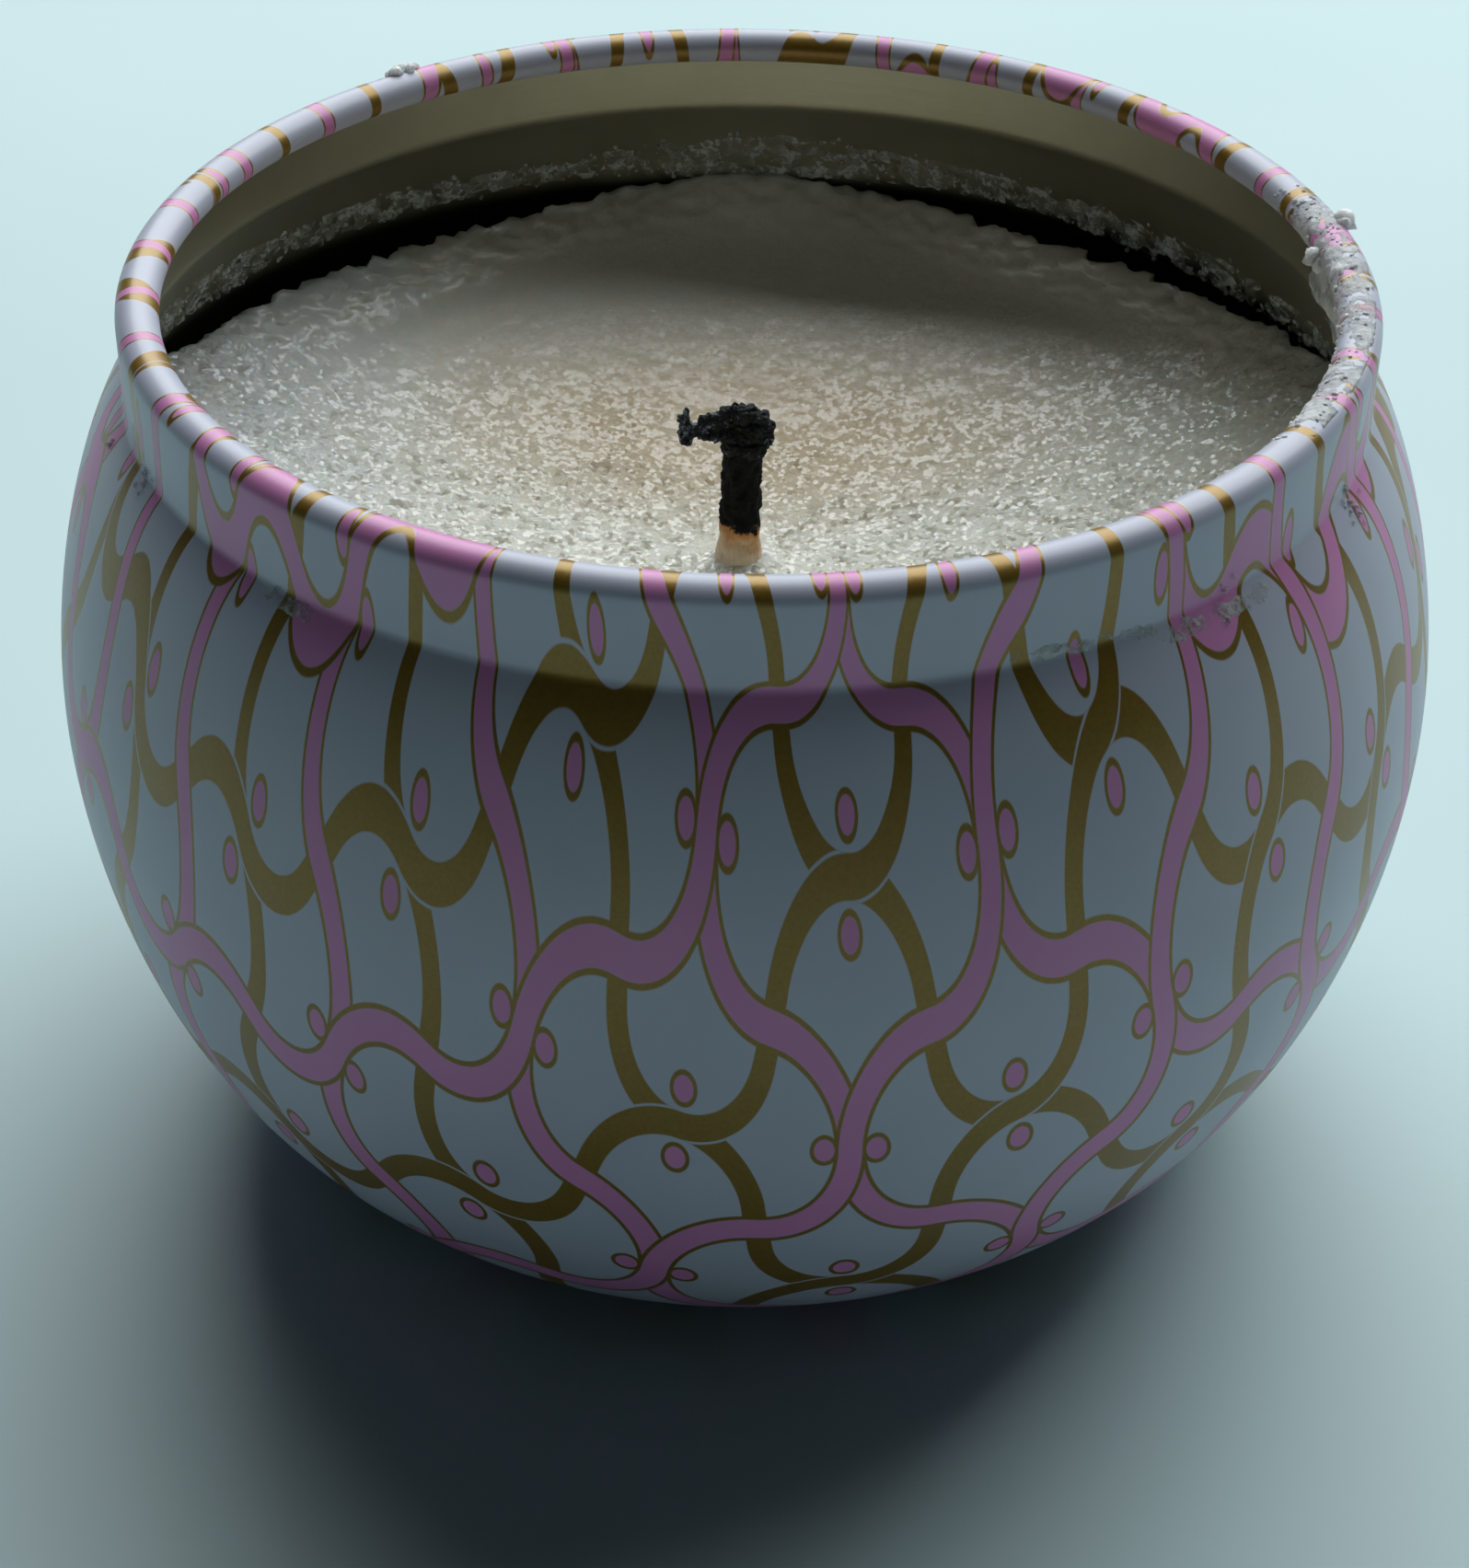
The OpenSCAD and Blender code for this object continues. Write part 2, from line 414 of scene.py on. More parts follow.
# %% [markdown]
# ## The printed shell
#
# Such a tin is printed flat and then drawn into shape, which stretches the print. The sheet keeps
# its area, so a ring at radius r on the tin came from a flat ring whose radius is the square root
# of twice the swept r ds. Each point of the line gets that flat radius before it is spun, and
# after the spin it becomes a UV map in which the print can be drawn undistorted. Solidify then
# gives the sheet its thickness, with a second finish on the inside.

# %% Spin the shell and lay out its print
SHELL_STEPS, PRINT_SIDE = 256, 160.0


def line_shape(points):
    """A bmesh that holds one line in the XZ plane."""
    shape = bmesh.new()
    shape.verts.layers.float.new("flat_radius")
    made = [shape.verts.new((p.x, 0, p.y)) for p in points]
    for a, b in zip(made, made[1:]):
        shape.edges.new((a, b))
    return shape, made


def spun(shape, steps, angle=2 * pi, start=0.0):
    """Spin everything in the shape round the tin's axis, from start."""
    turn = Matrix.Rotation(start, 3, "Z")
    bmesh.ops.rotate(shape, verts=shape.verts, cent=(0, 0, 0), matrix=turn)
    bmesh.ops.spin(
        shape, geom=shape.verts[:] + shape.edges[:], cent=(0, 0, 0), axis=(0, 0, 1),
        steps=steps, angle=angle, use_merge=angle > 2 * pi - 1e-6,
    )
    return shape


shell, shell_verts = line_shape(outside)
flat_radius = shell.verts.layers.float["flat_radius"]
swept = 0.0
ends = (len(base_line) - 1, len(base_line) + len(side_line) - 1, len(outside) - 1)
for i, vert in enumerate(shell_verts):
    if i:
        step = outside[i] - outside[i - 1]
        swept += (outside[i].x + outside[i - 1].x) / 2 * step.length
    vert[flat_radius] = sqrt(2 * swept)
    if i in ends:
        x, y = outside[i]
        print(f"flat radius {sqrt(2 * swept):.2f} mm at radius {x:.2f}, height {y:.2f}")
spun(shell, SHELL_STEPS)
closed(shell)
widest = max(shell.faces, key=lambda f: f.calc_center_median().xy.length)
if widest.normal.dot(widest.calc_center_median()) < 0:
    bmesh.ops.reverse_faces(shell, faces=shell.faces)
print_map = shell.loops.layers.uv.new("print")
for face in shell.faces:
    for loop in face.loops:
        x, y, _ = loop.vert.co
        grow = loop.vert[flat_radius] / max(hypot(x, y), 1e-9)
        loop[print_map].uv = (0.5 + x * grow / PRINT_SIDE, 0.5 - y * grow / PRINT_SIDE)

# %% [markdown]
# ## The print
#
# The pattern is a plain ogee trellis, an old ornament: two layers of interlaced ribbons, pink over
# gold, with small oval beads beside every crossing. Each ribbon is half a cell long before it
# repeats, and half a cell is one arc and one straight line, so its distance is easy to work out.
# An image could carry it, but a formula stays sharp at any size and needs no file.
#
# A drawn sheet is never stretched quite evenly. `draw` therefore eases the flat radius a little
# towards the mouth, and each of the two WARPS shifts it over one stretch of the front, so that
# the ribbons on the neck sit at the right height.

# %% Ribbons and beads
ORIGIN, SIDE_A, SIDE_B = (-26.518, 42.555), (11.857, 9.637), (9.867, -13.474)
WARPS = [(0.049, -84, 20, 0.15, 0.235, 0.37), (-0.015, -112, 14, 0.1, 0.28, 0.40)]
DRAW_MIDDLE, DRAW_EASE, DRAW_BEND = 50, 0.025, 0.0349
PINK_LEAN, GOLD_LEAN = radians(6.59), radians(12.02)
PINK_HALF, GOLD_HALF, OUTLINE, CROSS_GAP = 0.76, 0.75, 0.27, 0.13
BEAD, PINK_BEADS, GOLD_BEADS = 0.66, 1.684, 1.935
across = ((SIDE_A[0] + SIDE_B[0]) / 2, (SIDE_A[1] + SIDE_B[1]) / 2)
along = ((SIDE_A[0] - SIDE_B[0]) / 2, (SIDE_A[1] - SIDE_B[1]) / 2)
CELL_W, CELL_H = hypot(*across), hypot(*along)


def distance(a, b):
    return root(a * a + b * b)


def ribbon(u, v, wide, tall, upright):
    """Distance to the nearest ribbon that climbs by wide and tall; upright is its crossing angle."""
    c, s = cos(upright), sin(upright)
    bend = (wide * s - tall * c) / 2 / (s * (1 - s) - c * c)
    u = u - ((u - v * (wide / tall)) / (2 * wide)).nearest() * (2 * wide)
    step = ((u * c + v * s) / (wide * c + tall * s)).nearest()
    u, v = u - step * wide, v - step * tall
    side = (v > 0) * 2 - 1
    u, v = u * side, v * side
    on_arc = abs(distance(u - bend, v) - bend)
    on_line = abs((u - wide / 2) * s - (v - tall / 2) * c)
    past = ((u - bend * (1 - s)) * c + (v - bend * c) * s) > 0
    return on_arc + (on_line - on_arc) * past


def beads(u, v, wide, tall, beside):
    """Distance to the nearest bead; one lies on each side of every crossing."""
    row = (v / tall).nearest()
    u, v = u - row * wide, v - row * tall
    u = u - (u / (2 * wide)).nearest() * (2 * wide)
    return distance(abs(u) - beside, v)


def over(below, mask, above):
    return below + (above - below) * mask


def inside_of(gap, half, soft=0.07):
    """1 where a distance is less than half, with an edge as soft as printed ink."""
    return ((half - gap) / soft + 0.5).clamped()


print(f"one cell of the print is {2 * CELL_W:.1f} x {2 * CELL_H:.1f} mm on the flat sheet")

# %% Finish of the printed outside
printed = Finish("printed_tin", Coat_Weight=0.22, Coat_Roughness=0.28, Coat_IOR=1.5)
flat_map = printed.node("ShaderNodeUVMap", {"uv_map": "print"})
fx, fy, _ = printed.axes(flat_map)
fx, fy = (fx - 0.5) * PRINT_SIDE, (fy - 0.5) * PRINT_SIDE
far = (distance(fx, fy) - DRAW_MIDDLE) / DRAW_MIDDLE
azimuth = (-fy).math("ARCTAN2", fx) * (180 / pi)
draw = 1 + far * DRAW_EASE - far * far * DRAW_BEND
for shift, centre, width, level, start, end in WARPS:
    beside = abs((azimuth - centre) / width)
    draw = draw + shift * far.ramp(start, end) * (1 - beside.ramp(level, 1))
dx, dy = fx * draw - ORIGIN[0], fy * draw - ORIGIN[1]
area = across[0] * along[1] - along[0] * across[1]
u = (dx * along[1] - dy * along[0]) * (CELL_W / area)
v = (dy * across[0] - dx * across[1]) * (CELL_H / area)
pink_up, pink_down = [ribbon(way, v, CELL_W, CELL_H, PINK_LEAN) for way in (u, -u)]
shifted = u - CELL_W
gold_up, gold_down = [ribbon(way, shifted, CELL_H, CELL_W, GOLD_LEAN) for way in (v, -v)]
pink_beads = beads(u, v, CELL_W, CELL_H, PINK_BEADS)
gold_beads = beads(v, shifted, CELL_H, CELL_W, GOLD_BEADS)
bead = smaller(pink_beads, gold_beads)
# The lower gold ribbon breaks off beside the upper one, and pink covers both with a gold edge
under = inside_of(gold_down, GOLD_HALF)
gold = over(under, inside_of(gold_up, GOLD_HALF + CROSS_GAP) * under, 0)
gold = over(gold, inside_of(gold_up, GOLD_HALF), 1)
gold = larger(gold, inside_of(pink_down, PINK_HALF + OUTLINE))
gold = larger(gold, inside_of(bead, BEAD + OUTLINE))
first = inside_of(pink_down, PINK_HALF)
gold, pink = gold * (1 - first), first
second_edge = inside_of(pink_up, PINK_HALF + OUTLINE)
second = inside_of(pink_up, PINK_HALF)
gold, pink = over(larger(gold, second_edge), second, 0), larger(pink * (1 - second_edge), second)
bead_ink = inside_of(bead, BEAD)
gold, pink = gold * (1 - bead_ink), larger(pink, bead_ink)
mottle = printed.noise(9, printed.place(), detail=3)
speck = printed.noise(0.25, printed.place(), detail=2)
ground = printed.mix(mottle, srgb(184, 187, 204), srgb(197, 201, 217))
pink_tone = printed.mix(mottle, srgb(216, 132, 190), srgb(226, 150, 204))
gold_tone = printed.mix(speck, srgb(128, 97, 26), srgb(160, 126, 46))
colour = printed.mix(gold, printed.mix(pink, ground, pink_tone), gold_tone)
ripple = printed.noise(3.0, printed.place(), detail=2)
printed.set(
    Base_Color=colour,
    Metallic=gold * 0.35,
    Roughness=0.42 + speck * 0.08 - gold * 0.08,
    Normal=printed.bump(ripple, 0.02),
)
print(f"pink ribbons {2 * PINK_HALF:.2f} mm and gold ones {2 * GOLD_HALF:.2f} mm wide")

# %% [markdown]
# ## The bare inside of the tin
#
# Inside, the tin is unprinted sheet under a thin clear lacquer. Rolling left fine streaks that the
# drawing turned into rings, and the lacquer takes a warm grey-green tone. Noise that changes fast
# with height but slowly round the tin gives such rings without a seam. Just below the line where
# the wax stands the metal is painted dark as shade, so that the narrow gaps beside the wax look as
# deep as they are. Light could be kept out of them by shape alone, but the soft lamp would still reach
# in.

# %% Finish of the inside
bare = Finish("lacquered_tin", Metallic=0.85, Coat_Weight=0.25, Coat_Roughness=0.25)
streaks = bare.noise(1.0, bare.place((0.05, 0.05, 7.0)), detail=4, rough=0.6)
clouds = bare.noise(7.0, bare.place(), detail=3)
sheet_tone = bare.mix(clouds, srgb(150, 150, 128), srgb(176, 174, 152))
# Below the wax line the inside is painted dark: painted shade that stands in for the dark gaps beside
# the wax.
above_painted_gap_shade = bare.axes(bare.place())[2].ramp(39.6, 41.2)
bare.set(
    Base_Color=bare.mix(above_painted_gap_shade, srgb(40, 40, 34), sheet_tone),
    Roughness=0.30 + streaks * 0.16,
    Normal=bare.bump(streaks, 0.012),
)
tin = finished("tin", shell, [printed, bare], "printed_tinplate", "tin_shell")
wall = tin.modifiers.new("sheet", "SOLIDIFY")
wall.thickness, wall.offset, wall.use_even_offset = sheet * MM, -1, True
wall.material_offset, wall.material_offset_rim = 1, 1
print("the sheet is", sheet, "mm thick")

# %% [markdown]
# ## The wax
#
# Burning melted a shallow dish into the wax. As it set again it shrank away from the wall in two
# places and left dark ragged gaps, and it froze with a lumpy, sugary surface. A closed section
# is spun, with a hole for the wick and room for the sustainer, and then its vertices are moved:
# in from the wall along the gaps, and up and down by noise of several sizes. A displacement
# texture could do part of this, but not the gaps.

# %% Section of the wax
WAX_STEPS, TOP_STEPS, CLEAR, GAP_DEPTH = 560, 118, 0.02, 5
CLIMB, CLIMB_R = 0.55, 0.7
# How far the wax has drawn back from the wall, in (azimuth, millimetres)
LEFT_GAP = [
    (103, 0), (108, 1.1), (116, 2.0), (126, 2.5), (136, 2.3), (146, 1.7), (156, 1.4), (163, 0),
]
RIGHT_GAP = [(19, 0), (26, 0.5), (34, 1.5), (44, 2.2), (56, 2.4), (64, 2.0), (71, 0.9), (80, 0)]
gap_floor_z = wax_edge_z - GAP_DEPTH


def wall_radius(z):
    """Radius of the tin's inner wall at a height."""
    for a, b in zip(inner_wall[len(base_line):], inner_wall[len(base_line) + 1:]):
        if a.y <= z <= b.y:
            return a.x + (b.x - a.x) * (z - a.y) / (b.y - a.y)
    return inner_wall[len(base_line)].x


def between(stops, x):
    """Smooth value between stops of (x, value); 0 outside them."""
    for (x0, a), (x1, b) in zip(stops, stops[1:]):
        if x0 <= x <= x1:
            t = (x - x0) / (x1 - x0)
            return a + (b - a) * t * t * (3 - 2 * t)
    return 0.0


def smooth(low, high, x):
    """0 at low, 1 at high, and smooth between."""
    t = min(max((x - low) / (high - low), 0), 1)
    return t * t * (3 - 2 * t)


def dish(r):
    """Height of the wax at a radius; it climbs a little way up the wick."""
    climb = CLIMB * exp(-max(r - wick_r, 0) / CLIMB_R)
    return wax_centre_z + (wax_edge_z - wax_centre_z) * (r / (belly_r - 2)) ** 2 + climb


sustainer_low, sustainer_high = box_mm("wick_sustainer")
sticker_low = box_mm("wick_sticker")[0]
disc_top_z = sustainer_low.z + 0.32
disc_r = (sustainer_high.x - sustainer_low.x) / 2
collar_r = wick_r + 0.3
edge_r = wall_radius(wax_edge_z) - CLEAR
hole_r = wick_r - 0.1
top_width = edge_r - 0.3 - hole_r
top_radii = [hole_r + top_width * (i / TOP_STEPS) for i in range(TOP_STEPS + 1)]
side_heights = [wax_edge_z - 0.25 - 0.42 * i for i in range(14)] + [33 - 2.2 * i for i in range(15)]
bottom = [
    (foot_r - 2, sheet + 0.12), (panel_r - 0.2, base_recess + sheet + CLEAR),
    (disc_r + CLEAR, sticker_low.z), (disc_r + CLEAR, disc_top_z),
    (collar_r + 0.85, disc_top_z), (collar_r + CLEAR, sustainer_low.z + 1.15),
    (collar_r + CLEAR, sustainer_high.z + CLEAR), (hole_r, sustainer_high.z + 0.3),
]
wax_line = [(r, dish(r)) for r in top_radii]
wax_line += [(wall_radius(z) - CLEAR, z) for z in side_heights]
wax_line += bottom + [(hole_r, z) for z in (12, 20, 28)]
wax, wax_verts = line_shape([Vector(p) for p in wax_line])
wax.edges.new((wax_verts[-1], wax_verts[0]))
spun(wax, WAX_STEPS)
closed(wax, 0.00005)
print(f"wax block: {len(wax.verts)} points before it is roughened")

# %% Roughen the wax
GRAIN = (0.55, 0.45), (0.30, 1.1), (0.25, 2.3)
FLAT_R, SKIN = 30, 1.2


def layered(at, *layers):
    """Noise of a few sizes: each layer is (what it is worth, how often it changes in a millimetre)."""
    return sum(worth * noise.noise(at * often) for worth, often in layers)


def noise_at(x, y, often, layer):
    """Noise over the wax as seen from above; each layer is a pattern of its own."""
    return noise.noise(Vector((x * often, y * often, layer)))


def pebbles(x, y, size):
    """Rounded bumps about this far apart, from 0 in the cracks to 1 on top."""
    near, second = noise.voronoi(Vector((x / size, y / size, 3.7)))[0][:2]
    return min(max((second - near) * 1.6, 0), 1)


for vert in wax.verts:
    x, y, z = vert.co
    r, azimuth = hypot(x, y), degrees(atan2(y, x)) % 360
    if r < 9 and z < dish(0) + 2:
        vert.co.x += wick_x * (1 - smooth(5, 9, r))
    if z < gap_floor_z - 1e-6 and r > 9 and z < dish(r) - 0.6:
        continue
    if r < hole_r + 0.3 and z < wax_centre_z:
        continue
    gap = max(between(LEFT_GAP, azimuth), between(RIGHT_GAP, azimuth))
    on_top = z > dish(r) - 0.02
    if r > FLAT_R:
        ragged = 0.9 * noise_at(x, y, 0.8, 9) + 0.5 * noise_at(x, y, 2.1, 5)
        pull = max(gap * (1 + 0.35 * ragged) + 0.35 * ragged * smooth(0, 0.6, gap), 0)
        if on_top:
            pull *= smooth(edge_r - 7, edge_r - 0.4, r)
        else:
            pull *= smooth(gap_floor_z, wax_edge_z - 1, z)
        r -= pull
        vert.co.x, vert.co.y = cos(radians(azimuth)) * r, sin(radians(azimuth)) * r
    if on_top or z > wax_edge_z - SKIN:
        away = smooth(1.6, 4.0, r)
        left = smooth(30, -30, y) * smooth(5, -25, x)
        near = 0.25 + 0.75 * smooth(24, 4, y)
        lift = 0.20 * away * near * layered(Vector((x, y, 0.0)), *GRAIN)
        lift += (0.10 * near + 0.16 * left) * away * (pebbles(x, y, 1.25) - 0.5)
        lift += 0.06 * away * near * (pebbles(x + 40, y, 0.6) - 0.5)
        lift += 0.35 * smooth(30, 35.5, r) * (0.4 + noise_at(x, y, 1.2, 21))
        lift += 0.9 * exp(-(((azimuth - 90) / 9) ** 2)) * smooth(31, 36, r)
        if not on_top:
            lift *= smooth(wax_edge_z - SKIN, wax_edge_z, z)
        vert.co.z += lift
print(f"wax from {min(v.co.z for v in wax.verts):.2f} to {max(v.co.z for v in wax.verts):.2f} mm")

# %% [markdown]
# ## How the wax shines
#
# Wax lets light in a little way, so it takes subsurface scattering. Its glitter comes from small
# crystals whose flat faces each lean their own way and flash one at a time. A relief of plain
# noise was the other choice, but it looks like sandpaper, so `facets` gives every cell one tilt.
# The crystals lie towards the front, where the window is mirrored, and in loose frosty grains on
# the left. Round the foot of the wick the wax is stained brown by scorched cotton.

# %% Finish of the wax
cream = Finish(
    "cream_wax", Subsurface_Weight=0.5, Subsurface_Radius=(1.0, 0.8, 0.55), Subsurface_Scale=0.002,
    Specular_IOR_Level=0.9, IOR=1.45,
)
at = cream.place()
wx, wy, _ = cream.axes(at)
fine, mid, coarse = cream.noise(0.32, at, 3, 0.6), cream.noise(1.1, at, 3), cream.noise(5.0, at, 3)
sparkle = 1 - (wy + (coarse - 0.5) * 12).ramp(1, 20)
granules = (1 - wx.ramp(-34, -16)) * (1 - wy.ramp(6, 22))
stain = 1 - distance((wx + 0.5) * 0.5, wy - 14).ramp(3, 14)
frost = (1 - wx.ramp(-34, -14)) * coarse.ramp(0.2, 0.5)
body = cream.mix(mid, srgb(236, 234, 220), srgb(245, 244, 232))
body = cream.mix(stain * 0.7, body, srgb(200, 172, 126))
body = cream.mix(frost * 0.9, body, srgb(242, 248, 248))
relief = cream.facets(0.30, at) * 1.5 + cream.facets(0.8, at) * 0.7 + fine * 0.04
cream.set(
    Base_Color=cream.mix(fine.ramp(0.45, 0.75) * 0.3, body, srgb(250, 250, 244)),
    Roughness=0.26 - sparkle * 0.19 + mid * 0.08,
    Normal=cream.bump(relief * (0.08 + larger(sparkle, granules) * 0.72), 1.0),
)
finished("wax", wax, [cream], "candle_wax", "wax_fill")

# %% [markdown]
# ## Frosted wax on the tin
#
# Where the melt once stood it left a frosted film on the wall. A crust of the same wax climbs over
# the rim on one side, and a little ran into the outer crease. Such a deposit has no clean edge, so
# each is a closed strip that follows the tin's surface, with a back buried in the tinplate and a
# front pushed out by noise. Where the noise is low the front dips under the metal and the strip
# ends in ragged islands. Loose crumbs are small spheres, knocked out of round.

# %% Strips and crumbs of wax
BURIED, MOST_BURIED = 0.12, 0.8


def deposit(line, start, end, step, depth):
    """A strip of wax along a line, from start to end in degrees, as thick as depth() says."""
    rows = len(line)
    ways = [(line[min(i + 1, rows - 1)] - line[max(i - 1, 0)]).normalized() for i in range(rows)]
    outs = [Vector((-w.y, w.x)) for w in ways]
    shape, made = line_shape(line + [p - n * BURIED for p, n in zip(line[::-1], outs[::-1])])
    shape.edges.new((made[-1], made[0]))
    row = shape.verts.layers.float["flat_radius"]
    for i, vert in enumerate(made):
        vert[row] = i + 1 if i < rows else 0
    steps = round((end - start) / step)
    spun(shape, steps, radians(end - start), radians(start))
    closed(shape, 0.0001)
    bmesh.ops.holes_fill(shape, edges=[e for e in shape.edges if e.is_boundary], sides=0)
    bmesh.ops.recalc_face_normals(shape, faces=shape.faces)
    for vert in shape.verts:
        if vert[row] > 0.5:
            i = round(vert[row]) - 1
            azimuth = degrees(atan2(vert.co.y, vert.co.x))
            azimuth += 360 * (azimuth < start - 5)
            thick = max(depth(azimuth, line[i], vert.co), -BURIED * MOST_BURIED)
            out = outs[i] * thick
            vert.co += Vector((cos(radians(azimuth)) * out.x, sin(radians(azimuth)) * out.x, out.y))
    return shape


def crumb(shape, at, size, facets=2):
    """Add a lump of about this radius to a shape, knocked out of round."""
    made = bmesh.ops.create_icosphere(shape, subdivisions=facets, radius=1)["verts"]
    squash = Vector([chance.uniform(0.65, 1.15) for _ in range(3)]) * size
    seed = Vector([chance.uniform(0, 50) for _ in range(3)])
    for vert in made:
        knock = 1 + 0.5 * noise.noise(vert.co * 1.4 + seed) + 0.3 * noise.noise(vert.co * 3.6 + seed)
        vert.co = Vector(at) + Vector([c * k for c, k in zip(vert.co, squash)]) * knock


def on_wall(azimuth, radius, z):
    """The point at this azimuth in degrees, radius and height."""
    return Vector((cos(radians(azimuth)) * radius, sin(radians(azimuth)) * radius, z))


def fade(x, start, end, soft):
    """1 between start and end, falling to 0 over soft at both."""
    return smooth(start, start + soft, x) * (1 - smooth(end - soft, end, x))


frosted = Finish(
    "frosted_wax", Subsurface_Weight=0.9, Subsurface_Radius=(1.0, 0.95, 0.9),
    Subsurface_Scale=0.0012, IOR=1.44,
)
at = frosted.place()
grit, flakes = frosted.noise(0.22, at, 3, 0.6), frosted.cells(0.45, at)
patches = frosted.noise(1.5, at, 3)
frosted.set(
    Base_Color=frosted.mix(patches, srgb(222, 226, 224), srgb(246, 247, 247)),
    Roughness=0.34 + grit * 0.3,
    Alpha=0.62 + patches.ramp(0.35, 0.6) * 0.38,
    Normal=frosted.bump(grit * 0.6 + flakes * 0.6, 0.16),
)
smear = Finish("thin_wax", IOR=1.44)
at = smear.place()
grit, patches = smear.noise(0.3, at, 3, 0.6), smear.noise(1.2, at, 3)
smear.set(
    Base_Color=smear.mix(patches, srgb(176, 180, 174), srgb(220, 223, 220)),
    Roughness=0.4 + grit * 0.3,
    Alpha=0.15 + (patches * 0.6 + grit * 0.4).ramp(0.42, 0.62) * 0.65,
    Normal=smear.bump(grit, 0.1),
)
print("thick and thin wax finishes ready")

# %% Film on the wall
chance = random.Random(7)
# Heights of the film's edges, in (azimuth, z)
FILM_TOP = [
    (14, 41.0), (30, 41.6), (52, 41.9), (72, 42.6), (88, 43.5), (98, 43.0), (111, 42.1),
    (131, 42.6), (158, 43.2), (168, 42.6),
]
FILM_FOOT = [(13, 38.2), (36, 38.9), (68, 40.2), (90, 40.0), (110, 40.5), (169, 40.4)]
FILM_LUMPS, FILM_CRUMBS = ((0.5, 0.9), (0.5, 2.0), (0.3, 4.1)), 420
wall_up = [Vector((wall_radius(z), z)) for z in [39.4 + 0.24 * i for i in range(20)]]


def film_depth(azimuth, point, co):
    top = between(FILM_TOP, azimuth)
    lumps = layered(co, *FILM_LUMPS)
    foot_z = between(FILM_FOOT, azimuth)
    body = fade(point.y, foot_z - 0.2, top + 0.4, 0.7) * fade(azimuth, 14, 168, 5)
    return 0.13 * body + 0.26 * lumps * (0.35 + body) - 0.09


film = deposit(wall_up, 13, 169, 0.4, film_depth)
for _ in range(FILM_CRUMBS):
    azimuth = chance.uniform(20, 165)
    low, high = between(FILM_FOOT, azimuth), between(FILM_TOP, azimuth)
    z = low + (high - low) * chance.triangular(-0.1, 1.3, 0.6)
    size = chance.triangular(0.08, 0.32 + 0.2 * smooth(115, 145, azimuth), 0.12)
    crumb(film, on_wall(azimuth, wall_radius(z) - 0.04, z), size, 1)
finished("wall_film", film, [smear], "frosted_wax", "wall_wax_film")

# %% Crust over the rim
CRUST_LUMPS, CRUST_CRUMBS = ((0.5, 0.7), (0.45, 1.9), (0.3, 4.3)), 150
# The larger lumps on the rim: azimuth, turn round the rim's section, size
RIM_LUMPS = [
    (11.4, 40, 0.62), (10.2, 55, 0.40), (12.3, 30, 0.30), (7.2, 190, 0.60), (6.2, 205, 0.50),
    (8.4, 200, 0.42), (129.7, 62, 0.55), (128.9, 82, 0.42), (130.6, 78, 0.38), (127.9, 66, 0.30),
    (131.3, 60, 0.22),
]
inner_neck_r = neck_r - sheet
crust_line = [Vector((wall_radius(z), z)) for z in [40.2 + 0.35 * i for i in range(19)]]
crust_line += [Vector((inner_neck_r, 46.9 + 0.4 * i)) for i in range(7)]
crust_line += arc(rim_centre, rim_r, rim_half_h, 235, 52, 22)


def crust_depth(azimuth, point, co):
    on_rim = point.x < inner_neck_r - 0.05 or point.y > tin_h - 2 * rim_half_h
    lumps = layered(co, *CRUST_LUMPS)
    if on_rim:
        patch = fade(azimuth + 3 * lumps, -37, 22, 9)
        return 0.20 * lumps * patch - 0.10 + 0.12 * patch
    strayed = azimuth + 5 * noise.noise(co * 0.6) + 3 * noise.noise(co * 1.7)
    spread = fade(strayed, -34, 20, 9)
    low = smooth(49.8, 44.0, point.y)
    return 0.50 * spread * (0.55 + 0.45 * low) + 0.40 * lumps * spread - 0.10


crust = deposit(crust_line, -39, 24, 0.42, crust_depth)
for _ in range(CRUST_CRUMBS):
    azimuth, turn = chance.uniform(-36, 20), radians(chance.uniform(70, 215))
    radius, z = rim_centre.x + cos(turn) * rim_r, rim_centre.y + sin(turn) * rim_half_h
    crumb(crust, on_wall(azimuth, radius, z), chance.triangular(0.06, 0.22, 0.09), 1)
for azimuth, turn, size in RIM_LUMPS:
    radius = rim_centre.x + cos(radians(turn)) * (rim_r + size * 0.3)
    z = rim_centre.y + sin(radians(turn)) * (rim_half_h + size * 0.3)
    crumb(crust, on_wall(azimuth, radius, z), size)
finished("rim_crust", crust, [frosted], "frosted_wax", "rim_wax_crust")

# %% Wax in the outer crease
# Each heap is (azimuth, z, spread, count); every smear follows a height in (azimuth, z)
CREASE_HEAPS = [
    (-25.7, 45.5, 0.55, 16), (-154.7, 46.0, 0.35, 9), (-47, 45.6, 0.9, 7), (-165, 45.2, 0.3, 3),
]
LEFT_SMEAR_Z, SMEAR_HALF = 45.9, 0.42
outer_down = [p for p in side_line[::-1] if 44.3 < p.y < 49.0]
outer_down = [a + (b - a) * (i / 4) for a, b in zip(outer_down, outer_down[1:]) for i in range(4)]
SMEAR_Z = [(-75, 46.7), (-66, 46.6), (-59, 46.4), (-52, 45.7), (-46, 45.5), (-36, 45.6)]


def smear_depth(azimuth, point, co):
    lumps = 0.6 * noise.noise(co * 1.1) + 0.4 * noise.noise(co * 2.8)
    line_z = between(SMEAR_Z, azimuth) if azimuth > -80 else LEFT_SMEAR_Z
    reach = max(fade(azimuth, -70, -40, 4), fade(azimuth, -134.5, -126, 3))
    band = exp(-(((point.y - line_z) / SMEAR_HALF) ** 2)) * reach
    return 0.08 * band + 0.22 * lumps * band - 0.05


